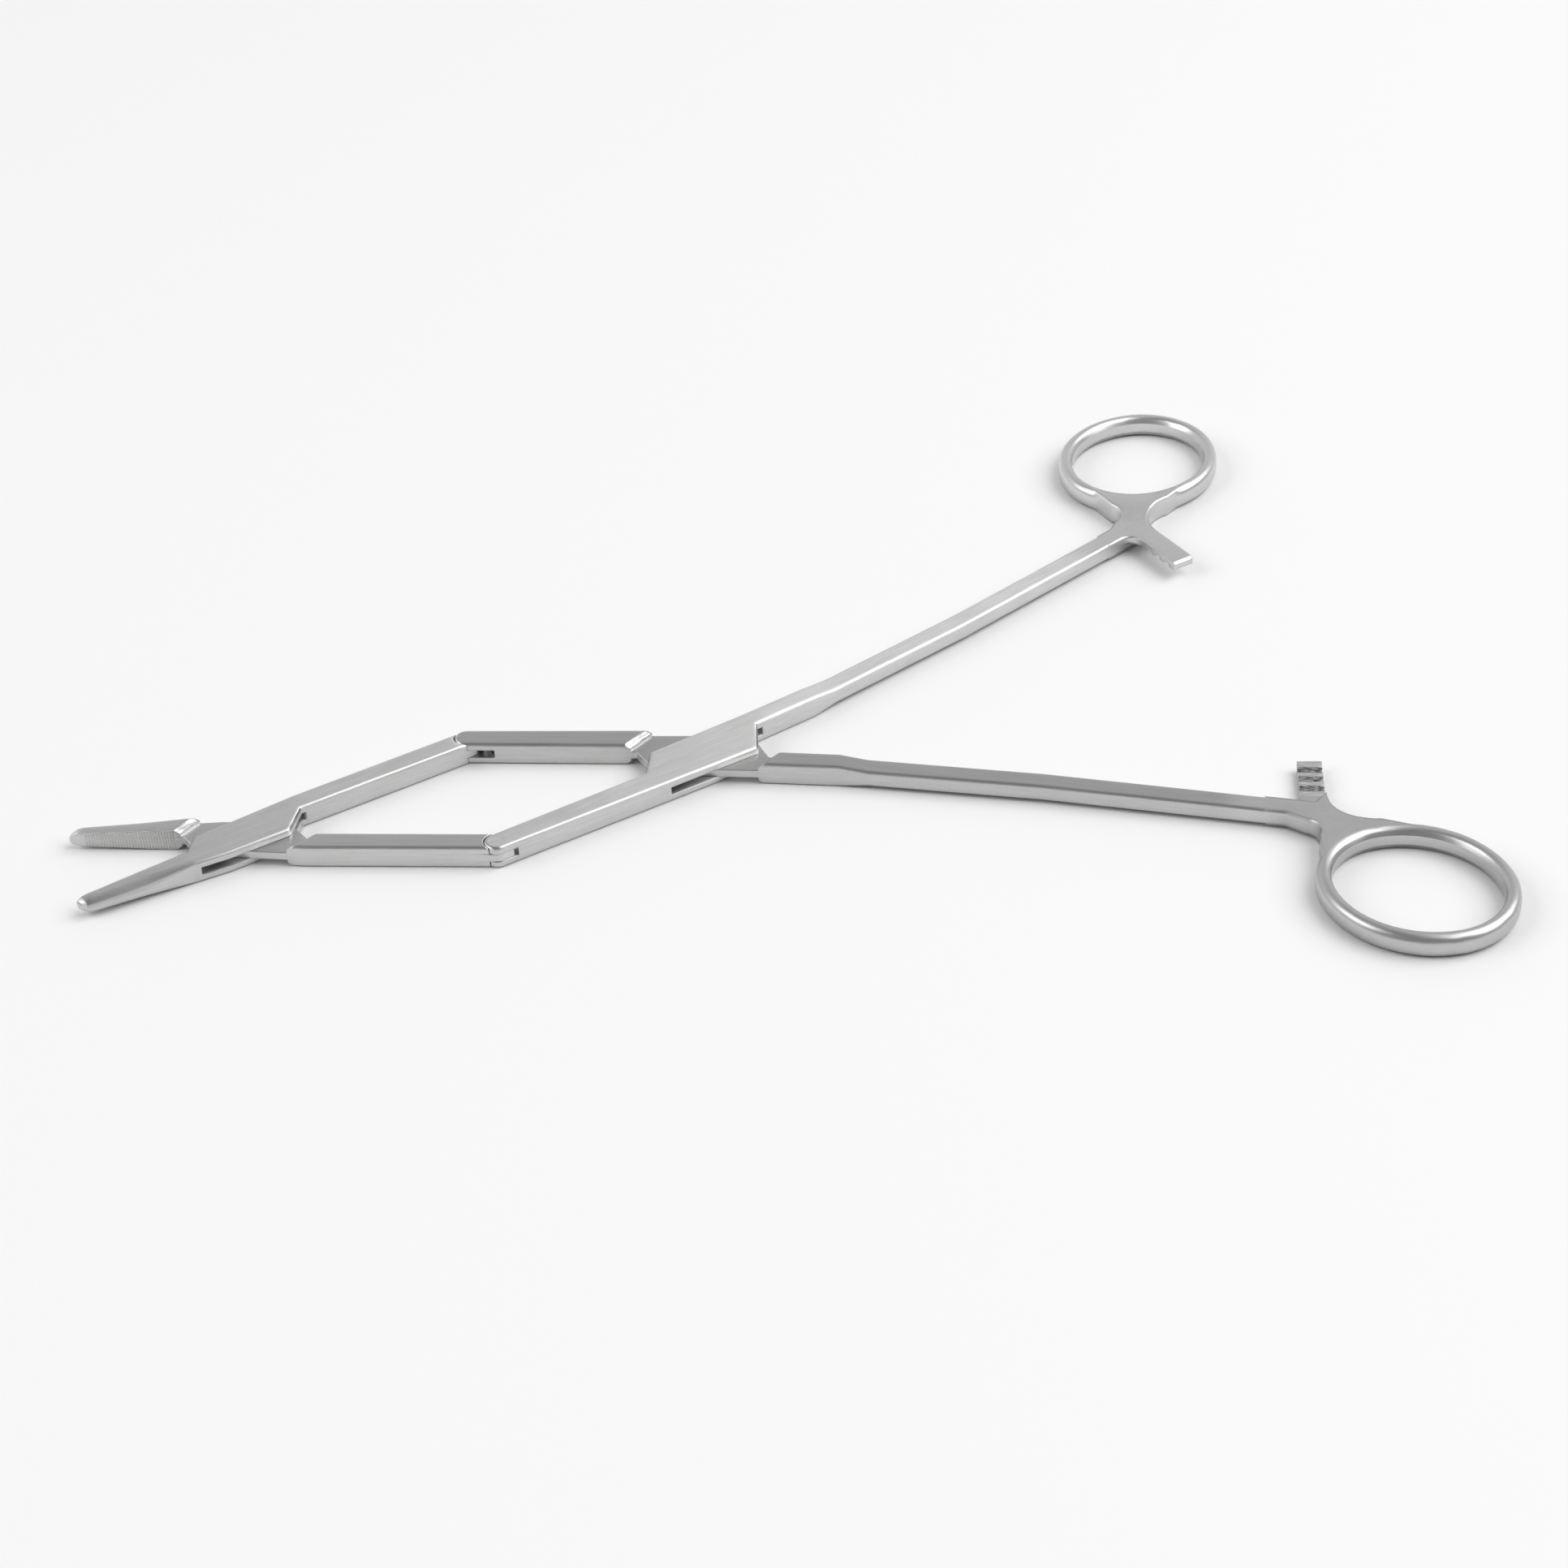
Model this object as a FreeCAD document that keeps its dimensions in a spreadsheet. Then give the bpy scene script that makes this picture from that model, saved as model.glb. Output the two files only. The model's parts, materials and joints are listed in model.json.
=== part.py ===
import FreeCAD, Part
import math
import os
import re
import Sketcher

# Double-action needle holder, in millimetres.
# Two crossed handles turn in a box lock at the origin, and their front arms end in forks.
# The forks take the tongues of two crossed jaw levers, which turn in a second box lock.
# The four equal links between the pivots form a rhombus, so the jaws open with the handles.
# +X runs to the finger rings, +Z is up, and the table is at z = 0 under the flat sides.
# Each lever is drawn in its closed pose about its own box pivot, and then swung open.

SIZES = [
    # links
    ("link_length", 40.14, "box pivot to knuckle pin, on all four arms"),
    ("pin_offset", 2.25, "knuckle pin from the centre line when closed"),
    ("opening", 17.5, "half opening between the levers at rest, degrees"),
    ("arm_thick", 3.9, "height of the arms and boxes"),
    ("arm_width", 3.9, "width of the handles' front arms"),
    ("arm_round", 0.5, "rounding along the arms"),
    ("half_gap", 0.3, "inner side of an arm from the centre line when closed"),
    ("arm_root_gap", 0.05, "the same for a front arm where it meets the handle box"),
    # box locks and forks
    ("tongue_thick", 1.34, "height of the tongues in the slots"),
    ("slot_clear", 0.05, "running clearance above and below a tongue"),
    ("bevel_rise", 0.75, "height of the sloped part of a shoulder"),
    ("bevel_angle", 48.0, "slope of a shoulder from upright, degrees"),
    ("wing_corner", 0.9, "corner radius of a box cheek"),
    ("box_front", 12.5, "front end of the handle box on the centre line"),
    ("box_front_corner", 9.3, "front end of the handle box at its corner"),
    ("box_half_width", 4.4, "half width of the handle box"),
    ("overcut", 2.0, "cuts of a box lock beyond its sides"),
    ("box_rear", 8.8, "rear end of the handle box at the arm"),
    ("box_rear_corner", 5.6, "rear end of the handle box at its corner"),
    ("slot_front_play", 1.0, "slot beyond the tongue at the front"),
    ("slot_rear_play", 2.1, "slot beyond the tongue at the rear"),
    ("jaw_slot_play", 0.9, "slot of the jaw box beyond its shoulders"),
    ("box_pin_dia", 2.6, "pin of a box lock"),
    # knuckles
    ("link_pin_dia", 1.6, "pin of a knuckle"),
    ("pin_clear", 0.04, "running clearance round a pin"),
    ("knuckle_round", 1.9, "rounded end of a fork"),
    ("knuckle_clear", 0.12, "gap round the fork's end"),
    ("fork_depth_inner", 4.7, "fork slot behind the pin on its inner side"),
    ("fork_depth_outer", 2.7, "fork slot behind the pin on its outer side"),
    ("tongue_reach", 2.7, "tongue beyond the pin"),
    ("toe_start", 0.8, "inner side of the tongue beyond the pin"),
    ("toe_corner", 0.3, "corner at the tongue's end"),
    ("heel_turn", 55.0, "turn of the tongue's rounded heel, degrees"),
    ("horn_relief", 0.9, "cut back of the jaw arm's inner corner from the pin"),
    ("horn_relief_outer", 0.36, "cut back of its outer corner"),
    # rear arm, shank, web
    ("rear_inner", 1.35, "inner side of the rear arm at the box"),
    ("rear_outer", 5.0, "outer side of the rear arm at the box"),
    ("step_start", 20.0, "start of the step from rear arm to shank"),
    ("step_end", 24.6, "end of the step"),
    ("step_inner", 2.05, "inner side of the rear arm at the step"),
    ("shank_width", 3.6, "width of the shank"),
    ("shank_thick", 2.8, "height of the shank"),
    ("shank_round", 0.5, "rounding of the shank"),
    ("bow_start_y", 4.52, "middle of the shank at the step's end"),
    ("bow_end", 52.0, "end of the shank's bow"),
    ("bow_end_y", 8.1, "middle of the shank at the bow's end"),
    ("shank_end", 92.0, "end of the shank inside the web"),
    ("shank_end_y", 15.05, "middle of the shank at its end"),
    # finger ring
    ("ring_x", 107.36, "ring centre from the box pivot"),
    ("ring_y", 33.08, "ring centre from the centre line"),
    ("ring_turn", 29.5, "turn of the ring's long axis, degrees"),
    ("ring_long", 14.1, "half length of the ring's middle line"),
    ("ring_short", 12.65, "half width of the ring's middle line"),
    ("ring_stock", 2.4, "width of the ring's bar"),
    ("ring_outer_wall", 1.3, "height of the flat on the bar's outer side"),
    ("ring_inner_wall", 1.6, "height of the flat on the bar's inner side"),
    ("ring_crown", 0.1, "crown of the bar from its middle, towards the opening"),
    # web
    ("web_lap", 6.0, "start of the web before the shank's end"),
    ("web_inset", 0.06, "side of the web inside the side of the shank"),
    ("web_flare", 3.0, "start of the web's flare before the shank's end"),
    ("ramp_start", 2.0, "start of the web's rise to the ring, from the shank's end"),
    ("ramp_end", 8.0, "end of the web's rise"),
    ("sweep", 7.0, "concave side of the web between ratchet and ring"),
    ("sweep_start", 3.85, "start of that side below the shank's end"),
    ("sweep_turn", 253.9, "end of that side round the ring, degrees"),
    ("sweep_end", 15.2, "end of that side from the ring's centre"),
    ("tail_turn", 285.0, "end of the web along the ring, degrees"),
    ("throat", 2.8, "concave corner between shank and ring"),
    ("throat_x", 15.5, "shank side of that corner from the ring's centre"),
    ("throat_y", 15.0, "the same across"),
    ("throat_turn", 219.0, "ring side of that corner, degrees"),
    ("throat_end", 17.5, "the same from the ring's centre"),
    ("neck_turn", 196.0, "other end of the web along the ring, degrees"),
    # ratchet
    ("ratchet_x", 91.6, "jaw side of the ratchet arm"),
    ("ratchet_width", 3.85, "width of the ratchet arm"),
    ("ratchet_gap", 1.2, "ratchet tip from the centre line when closed"),
    ("ratchet_heel", 2.5, "concave corner between shank and ratchet"),
    ("ratchet_tip", 1.5, "plain end of the ratchet"),
    ("tip_bevel", 0.4, "bevel of the ratchet's end"),
    ("tooth_pitch", 2.4, "pitch of the ratchet teeth"),
    ("tooth_crest", 0.9, "flat crest of a tooth"),
    ("tooth_run", 0.4, "length of a tooth's steep side"),
    ("tooth_root", 0.3, "flat between two teeth"),
    ("tooth_rise", 0.62, "height of the ratchet teeth"),
    ("ratchet_clear", 0.06, "crests of the teeth from the middle plane"),
    # jaws
    ("jaw_arm_width", 3.75, "width of the jaw levers' arms"),
    ("jaw_box_front", 9.4, "front end of the jaw box on the centre line"),
    ("jaw_box_front_corner", 6.7, "front end of the jaw box at its corner"),
    ("jaw_box_half_width", 3.9, "half width of the jaw box"),
    ("jaw_shoulder", 3.8, "start of the jaw box's taper to the jaw"),
    ("jaw_root_width", 3.3, "width of the jaw where it leaves the box"),
    ("jaw_wing_width", 3.0, "front cheek of the jaw box beyond the centre line"),
    ("jaw_box_rear", 10.2, "rear end of the jaw box at the arm"),
    ("jaw_box_rear_corner", 6.5, "rear end of the jaw box at its corner"),
    ("bite_gap", 0.08, "bite face from the centre line when closed"),
    ("jaw_length", 27.5, "jaw tip from the jaw pivot"),
    ("jaw_mid", 17.0, "middle section of the jaw"),
    ("jaw_mid_width", 3.05, "width there"),
    ("jaw_mid_thick", 3.3, "height there"),
    ("jaw_nose", 25.4, "last section before the nose"),
    ("jaw_nose_width", 2.35, "width there"),
    ("jaw_nose_thick", 2.5, "height there"),
    ("jaw_mid_round", 1.45, "outer rounding at the middle section"),
    ("jaw_nose_round", 1.2, "outer rounding before the nose"),
    ("nose_turn", 72.0, "turn of the nose's rounding at its blunt end, degrees"),
    # bite grooves
    ("groove_start", 10.9, "first bite groove from the jaw pivot"),
    ("groove_pitch", 0.45, "pitch of the bite grooves"),
    ("groove_width", 0.36, "width of a bite groove"),
    ("groove_depth", 0.15, "depth of the bite grooves"),
    ("groove_count", 32, "bite grooves on each jaw"),
]

doc = FreeCAD.newDocument("needle_holder")
sheet = doc.addObject("Spreadsheet::Sheet", "Sizes")
for row, (alias, size, meaning) in enumerate(SIZES, start=1):
    sheet.set(f"A{row}", alias)
    sheet.set(f"B{row}", str(size))
    sheet.set(f"C{row}", meaning)
    sheet.setAlias(f"B{row}", alias)
doc.recompute()
ALIASES = {alias for alias, size, meaning in SIZES}

# Places that several levers share, written once as formulas of the sheet.
PIN_X = "sqrt(link_length^2-pin_offset^2)"
HALF_THICK = "arm_thick/2"
SLOT_HEIGHT = "tongue_thick+2*slot_clear"
REST_ANGLE = "asin(pin_offset/link_length)+opening*1deg"
KNUCKLE_X = f"link_length*cos({REST_ANGLE})"
KNUCKLE_Y = f"link_length*sin({REST_ANGLE})"
SHANK_SLOPE = "(shank_end_y-bow_end_y)/(shank_end-bow_end)"


def bound(formula):
    """Formula with each size's name led by the sheet's."""
    return re.sub(r"[a-z_]+", lambda m: "Sizes." + m[0] if m[0] in ALIASES else m[0], formula)


def number(formula):
    """Value of a formula, in millimetres."""
    found = sheet.evalExpression(bound(formula))
    return float(getattr(found, "Value", found))


def plane_of(body, role):
    return [p for p in body.Origin.OriginFeatures if p.Role == role][0]


def sketch_on(body, name, plane, level="0"):
    """Empty sketch on an origin plane of the body, lifted off it by level."""
    sketch = body.newObject("Sketcher::SketchObject", name)
    sketch.AttachmentSupport = [(plane_of(body, plane), "")]
    sketch.MapMode = "FlatFace"
    sketch.setExpression("AttachmentOffset.Base.z", bound(level))
    return sketch


def pin_down(sketch, geometry, position, x, y, rules):
    """Hold one point of the sketch at the formulas x and y."""
    rules.append((Sketcher.Constraint("DistanceX", -1, 1, geometry, position, number(x)), x))
    rules.append((Sketcher.Constraint("DistanceY", -1, 1, geometry, position, number(y)), y))


def apply(sketch, rules):
    """Add the rules, and bind those that have a formula."""
    first = sketch.ConstraintCount
    sketch.addConstraint([rule for rule, formula in rules])
    for index, (rule, formula) in enumerate(rules, start=first):
        if formula:
            sketch.setExpression(f"Constraints[{index}]", bound(formula))


def arc_between(start, end, radius, turn):
    """Short arc from start to end: turn is 1 for counterclockwise and -1 for clockwise."""
    chord = end - start
    height = math.sqrt(max(radius ** 2 - (chord.Length / 2) ** 2, 0))
    left = FreeCAD.Vector(-chord.y, chord.x, 0).normalize()
    centre = (start + end) / 2 + left * height * turn
    circle = Part.Circle(centre, FreeCAD.Vector(0, 0, 1), radius)
    from_point, to_point = (start, end) if turn > 0 else (end, start)
    first = math.atan2(from_point.y - centre.y, from_point.x - centre.x)
    last = math.atan2(to_point.y - centre.y, to_point.x - centre.x)
    return Part.ArcOfCircle(circle, first, last)


def outline(body, name, corners, plane="XY_Plane", level="0", side=1, shut=True):
    """Sketch through corners (x, y); (x, y, radius, turn) makes the next side an arc."""
    sketch = sketch_on(body, name, plane, level)
    if side < 0:
        corners = [(c[0], f"-({c[1]})") + ((c[2], -c[3]) if len(c) == 4 else ()) for c in corners]
    places = [FreeCAD.Vector(number(c[0]), number(c[1]), 0) for c in corners]
    count = len(corners)
    sides = count if shut else count - 1
    shapes, heads, tails, rules = [], [], [], []
    for i in range(sides):
        start, end = places[i], places[(i + 1) % count]
        if len(corners[i]) == 4:
            radius, turn = corners[i][2], corners[i][3]
            shapes.append(arc_between(start, end, number(radius), turn))
            rules.append((Sketcher.Constraint("Radius", i, number(radius)), radius))
            heads.append(1 if turn > 0 else 2)
        else:
            shapes.append(Part.LineSegment(start, end))
            heads.append(1)
        tails.append(3 - heads[-1])
    for i in range(sides):
        if shut or i + 1 < sides:
            following = (i + 1) % sides
            link = Sketcher.Constraint("Coincident", i, tails[i], following, heads[following])
            rules.append((link, None))
        pin_down(sketch, i, heads[i], corners[i][0], corners[i][1], rules)
    if not shut:
        pin_down(sketch, sides - 1, tails[-1], corners[-1][0], corners[-1][1], rules)
    sketch.addGeometry(shapes, False)
    apply(sketch, rules)
    return sketch


def round_spot(body, name, x, y, radius, level="0", side=1):
    """Sketch of one circle."""
    sketch = sketch_on(body, name, "XY_Plane", level)
    y = f"-({y})" if side < 0 else y
    middle = FreeCAD.Vector(number(x), number(y), 0)
    sketch.addGeometry(Part.Circle(middle, FreeCAD.Vector(0, 0, 1), number(radius)), False)
    rules = [(Sketcher.Constraint("Radius", 0, number(radius)), radius)]
    pin_down(sketch, 0, 3, x, y, rules)
    apply(sketch, rules)
    return sketch


def settle(feature):
    """Recompute, and stop at once if the feature failed."""
    doc.recompute()
    if "Invalid" in feature.State or "Error" in feature.State or not feature.Shape.isValid():
        raise RuntimeError(f"{feature.Label} failed: {feature.State} {feature.getStatusString()}")
    return feature


def raised(body, name, kind, sketch, height, symmetric=True, downward=False, taper=None):
    """Pad or Pocket of the sketch."""
    feature = body.newObject("PartDesign::" + kind, name)
    feature.Profile = (sketch, [""])
    feature.SideType = "Symmetric" if symmetric else "One side"
    feature.Reversed = downward
    feature.setExpression("Length", bound(height))
    if taper:
        feature.setExpression("TaperAngle", bound(taper) + "*1deg")
    return settle(feature)


def cut(body, name, sketch, height, **options):
    """Pocket that has to take something away."""
    before = body.Shape.Volume
    feature = raised(body, name, "Pocket", sketch, height, **options)
    if body.Shape.Volume > before - 1e-4:
        raise RuntimeError(f"{name} of {body.Label} cuts nothing")
    return feature


def edges_where(shape, test):
    return [f"Edge{i}" for i, edge in enumerate(shape.Edges, start=1) if test(edge)]


def rounded(body, name, radius, test):
    """Fillet on the edges of the body's last feature that pass the test."""
    base = body.Tip
    feature = body.newObject("PartDesign::Fillet", name)
    feature.Base = (base, edges_where(base.Shape, test))
    feature.setExpression("Radius", bound(radius))
    return settle(feature)


def bevelled(body, name, size, test):
    """Chamfer on the edges of the body's last feature that pass the test."""
    base = body.Tip
    feature = body.newObject("PartDesign::Chamfer", name)
    feature.Base = (base, edges_where(base.Shape, test))
    feature.setExpression("Size", bound(size))
    return settle(feature)


def is_upright(edge, spots):
    """The edge runs along Z at one of the spots."""
    if len(edge.Vertexes) != 2:
        return False
    a, b = (v.Point for v in edge.Vertexes)
    if math.hypot(a.x - b.x, a.y - b.y) > 1e-4:
        return False
    return any(math.hypot(a.x - x, a.y - y) < 1e-3 for x, y in spots)


def at_level(edge, level):
    """The whole edge lies at z = level or z = -level."""
    box = edge.BoundBox
    return abs(box.ZMin - box.ZMax) < 1e-4 and abs(abs(box.ZMin) - level) < 1e-4


def new_body(label):
    body = doc.addObject("PartDesign::Body", label)
    body.Label = label
    return body


def swing(body, side, at_jaws=False):
    """Stand the lever on the table and swing it from the closed pose to the rest pose."""
    body.Placement = FreeCAD.Placement(
        FreeCAD.Vector(0, 0, 0), FreeCAD.Rotation(FreeCAD.Vector(0, 0, 1), side * number("opening")))
    turn = "opening*1deg" if side > 0 else "-opening*1deg"
    body.setExpression("Placement.Rotation.Angle", bound(turn))
    body.setExpression("Placement.Base.z", bound(HALF_THICK))
    if at_jaws:
        body.setExpression("Placement.Base.x", bound(f"-2*{KNUCKLE_X}"))


def box_zone(front, front_corner, rear, rear_corner, half_width, front_play, rear_play):
    """Four corners of the slot in a box, or of the recess in the lever that crosses it."""
    far = f"({half_width}+overcut)"
    lean_front = f"({front}-{front_corner})/({half_width})"
    lean_rear = f"({rear}-{rear_corner})/({half_width})"
    return [
        (f"-({front}+{front_play})-overcut*{lean_front}", "overcut"),
        (f"-({front_corner}+{front_play})+overcut*{lean_front}", f"-{far}"),
        (f"{rear}+{rear_play}+{far}*{lean_rear}", f"-{far}"),
        (f"{rear}+{rear_play}-{far}*{lean_rear}", far),
        (f"-({front}+{front_play})-overcut*{lean_front}", far),
    ]


def cross_cut(body, name, zone, side, has_slot):
    """Slot through a box, or the two bevelled recesses that leave a tongue."""
    if has_slot:
        cut(body, f"{name}_slot", outline(body, f"{name}_slot_plan", zone, side=side), SLOT_HEIGHT)
        return
    for word, up in (("upper", 1), ("lower", -1)):
        sign = "" if up > 0 else "-"
        floor = outline(body, f"{name}_{word}_plan", zone, level=f"{sign}tongue_thick/2", side=side)
        cut(body, f"{name}_{word}_recess", floor, "arm_thick", symmetric=False, downward=up > 0)
        ledge = f"{sign}({HALF_THICK}-bevel_rise)"
        rim = outline(body, f"{name}_{word}_rim", zone, level=ledge, side=side)
        cut(body, f"{name}_{word}_bevel", rim, "bevel_rise", symmetric=False, downward=up > 0,
            taper="bevel_angle")


def handle(label, side, has_slot):
    """One handle: fork, front arm, box, rear arm, shank, ratchet arm, web and ring."""
    body = new_body(label)
    add_web(body, side)
    add_ring(body, side)
    add_shank(body, side)
    add_handle_arm(body, side)
    add_ratchet(body, side)
    zone = box_zone("box_front", "box_front_corner", "box_rear", "box_rear_corner",
                    "box_half_width", "slot_front_play", "slot_rear_play")
    cross_cut(body, "box", zone, side, has_slot)
    add_fork(body, side)
    box_hole = "box_pin_dia/2" if has_slot else "box_pin_dia/2+pin_clear"
    cut(body, "box_pin_hole", round_spot(body, "box_pin_spot", "0", "0", box_hole), "2*arm_thick")
    swing(body, side)
    return body


def shank_side(x, far):
    """Place on the straight shank's side at x, just inside it."""
    middle = f"shank_end_y+({x}-shank_end)*{SHANK_SLOPE}"
    half = f"(shank_width/2*sqrt(1+({SHANK_SLOPE})^2)-web_inset)"
    return (x, f"{middle}+{half}" if far else f"{middle}-{half}")


def by_ring(turn, reach):
    """Place round the ring's centre, turned from X."""
    return (f"ring_x+({reach})*cos({turn}*1deg)", f"ring_y+({reach})*sin({turn}*1deg)")


def add_web(body, side):
    """Flat web that spreads and rises from the shank to the ring, open where the ring is."""
    inside = "ring_short-ring_stock"
    web = outline(body, "web_plan", [
        shank_side("shank_end-web_lap", far=False),
        shank_side("ratchet_x+ratchet_width/2", far=False),
        ("ratchet_x+ratchet_width", "shank_end_y-sweep_start", "sweep", -1),
        by_ring("sweep_turn", "sweep_end"),
        by_ring("tail_turn", "ring_short"),
        by_ring("tail_turn", inside),
        by_ring("neck_turn", inside),
        by_ring("neck_turn", "ring_long"),
        by_ring("throat_turn", "throat_end") + ("throat", -1),
        ("ring_x-throat_x", "ring_y-throat_y"),
        shank_side("shank_end-web_flare", far=True),
        shank_side("shank_end-web_lap", far=True),
    ], side=side)
    raised(body, "web", "Pad", web, "arm_thick")
    add_ramp(body, "upper_ramp", 1, side)
    add_ramp(body, "lower_ramp", -1, side)
    cut(body, "ring_opening", ring_loop(body, "ring_opening_plan", side), "2*arm_thick")


def add_ramp(body, name, up, side):
    """Cut one face of the web down to the shank's height, with a gentle rise to the ring's."""
    places = [
        ("-2*web_lap", "shank_thick/2"),
        ("ramp_start", "shank_thick/2"),
        ("ramp_end", HALF_THICK),
        ("ramp_end", "arm_thick"),
        ("-2*web_lap", "arm_thick"),
    ]
    plan = outline(body, f"{name}_plan", [(x, z if up > 0 else f"-({z})") for x, z in places])
    rise = math.degrees(math.atan2(number("ring_y-shank_end_y"), number("ring_x-shank_end")))
    turned = FreeCAD.Rotation(FreeCAD.Vector(0, 0, 1), side * rise)
    upright = FreeCAD.Rotation(FreeCAD.Vector(1, 0, 0), 90)
    plan.AttachmentOffset = FreeCAD.Placement(FreeCAD.Vector(0, 0, 0), turned.multiply(upright))
    plan.setExpression("AttachmentOffset.Base.x", bound("shank_end"))
    plan.setExpression("AttachmentOffset.Base.y", bound("shank_end_y" if side > 0 else "-shank_end_y"))
    cut(body, name, plan, "4*ring_long")


def ring_loop(body, name, side):
    """Middle line of the ring's bar: an oval of small end arcs and large side arcs."""
    shift = "(ring_long-ring_short)*(1+sqrt(0.5))"
    end_arc = f"(ring_long-{shift})"
    side_arc = f"(ring_short+{shift})"
    join_x = f"({shift}+{end_arc}*sqrt(0.5))"
    join_y = f"({end_arc}*sqrt(0.5))"
    sketch = outline(body, name, [
        ("ring_long", "0", end_arc, 1),
        (join_x, join_y, side_arc, 1),
        (f"-{join_x}", join_y, end_arc, 1),
        (f"-{join_x}", f"-{join_y}", side_arc, 1),
        (join_x, f"-{join_y}", end_arc, 1),
    ])
    sketch.setExpression("AttachmentOffset.Base.x", bound("ring_x"))
    sketch.setExpression("AttachmentOffset.Base.y", bound("ring_y" if side > 0 else "-ring_y"))
    turn_ring(sketch, side)
    return sketch


def turn_ring(sketch, side):
    """Turn the sketch's own axes to the ring's long axis."""
    offset = sketch.AttachmentOffset
    offset.Rotation = FreeCAD.Rotation(FreeCAD.Vector(0, 0, 1), side * number("ring_turn"))
    sketch.AttachmentOffset = offset
    turn = "ring_turn*1deg" if side > 0 else "-ring_turn*1deg"
    sketch.setExpression("AttachmentOffset.Rotation.Angle", bound(turn))


def crown_point(angle):
    """Corner of the bar's section on its crown, from the outer flat at 0 to the inner at 180 degrees."""
    wall = "ring_outer_wall/2" if angle < 90 else "ring_inner_wall/2"
    reach = "(ring_stock/2+ring_crown)" if angle < 90 else "(ring_stock/2-ring_crown)"
    return (f"-ring_crown+{reach}*cos({angle}deg)", f"{wall}+({HALF_THICK}-{wall})*sin({angle}deg)")


def add_ring(body, side):
    """Bar with flat walls and a crowned top and bottom, swept round the ring's middle line."""
    spine = ring_loop(body, "ring_line", side)
    crown = [crown_point(angle) for angle in range(0, 181, 30)]
    section = outline(body, "ring_section", crown + [(x, f"-({z})") for x, z in reversed(crown)])
    turned = FreeCAD.Rotation(FreeCAD.Vector(0, 0, 1), side * number("ring_turn"))
    upright = FreeCAD.Rotation(FreeCAD.Vector(1, 0, 0), 90)
    section.AttachmentOffset = FreeCAD.Placement(FreeCAD.Vector(0, 0, 0), turned.multiply(upright))
    turn = "ring_turn" if side > 0 else "-ring_turn"
    ring_y = "ring_y" if side > 0 else "-ring_y"
    section.setExpression("AttachmentOffset.Base.x", bound(f"ring_x+ring_long*cos({turn})"))
    section.setExpression("AttachmentOffset.Base.y", bound(f"{ring_y}+ring_long*sin({turn})"))
    ring = body.newObject("PartDesign::AdditivePipe", "ring")
    ring.Profile = (section, [""])
    ring.Spine = (spine, [""])
    ring.Mode = "Frenet"
    settle(ring)


def bar_section(body, name, x, middle, width, thick, corner, side):
    """Rounded rectangle across X, centred on y = middle."""
    right = f"{middle}+({width})/2"
    left = f"{middle}-({width})/2"
    top = f"({thick})/2"
    corners = [
        (f"{left}+{corner}", f"-{top}"), (f"{right}-{corner}", f"-{top}", corner, 1),
        (right, f"-{top}+{corner}"), (right, f"{top}-{corner}", corner, 1),
        (f"{right}-{corner}", top), (f"{left}+{corner}", top, corner, 1),
        (left, f"{top}-{corner}"), (left, f"-{top}+{corner}", corner, 1),
    ]
    return cross_section(body, name, x, corners, side)


def cross_section(body, name, x, corners, side):
    """Closed sketch across X whose corners are (y, z)."""
    if side < 0:
        corners = [(f"-({c[0]})", c[1]) + ((c[2], -c[3]) if len(c) == 4 else ()) for c in corners]
    return outline(body, name, corners, plane="YZ_Plane", level=x)


def add_shank(body, side):
    """Slim bar from the step to the web, bowed at first and then straight."""
    spine = outline(body, "shank_line", [
        ("step_end", "bow_start_y"),
        ("bow_end", "bow_end_y"),
        ("shank_end", "shank_end_y"),
    ], side=side, shut=False)
    section = bar_section(body, "shank_section", "step_end", "bow_start_y", "shank_width",
                          "shank_thick", "shank_round", side)
    shank = body.newObject("PartDesign::AdditivePipe", "shank")
    shank.Profile = (section, [""])
    shank.Spine = (spine, [""])
    shank.Transition = "Transformed"
    settle(shank)


def add_handle_arm(body, side):
    """Front arm, box and rear arm in one plan, with the step down to the shank."""
    fork_end = f"-({PIN_X}+knuckle_round)"
    corners = [
        (fork_end, "-half_gap"),
        ("-box_front", "-arm_root_gap"),
        ("-box_front_corner", "box_half_width"),
        ("box_rear", "rear_outer"),
        ("step_start", "step_inner+shank_width"),
        ("step_start", "step_inner"),
        ("box_rear", "rear_inner"),
        ("box_rear_corner", "-box_half_width"),
        (fork_end, "-half_gap-arm_width"),
    ]
    plan = outline(body, "arm_plan", corners, side=side)
    raised(body, "arm", "Pad", plan, "arm_thick")
    spots = {i: (number(corners[i][0]), side * number(corners[i][1])) for i in (0, 2, 7, 8)}
    rounded(body, "fork_end", "knuckle_round", lambda e: is_upright(e, [spots[0], spots[8]]))
    rounded(body, "box_corners", "wing_corner", lambda e: is_upright(e, [spots[2], spots[7]]))
    rounded(body, "arm_edges", "arm_round", lambda e: at_level(e, number(HALF_THICK))
            and e.BoundBox.XMax < number("step_start") + 1e-3
            and e.BoundBox.XMin < number("step_start") - 1e-3)
    thick = bar_section(body, "step_thick_end", "step_start", "step_inner+shank_width/2",
                        "shank_width", "arm_thick", "arm_round", side)
    thin = bar_section(body, "step_thin_end", "step_end", "bow_start_y", "shank_width",
                       "shank_thick", "shank_round", side)
    step = body.newObject("PartDesign::AdditiveLoft", "step")
    step.Profile = (thick, [""])
    step.Sections = [(thin, [""])]
    step.Ruled = True
    settle(step)


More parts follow.
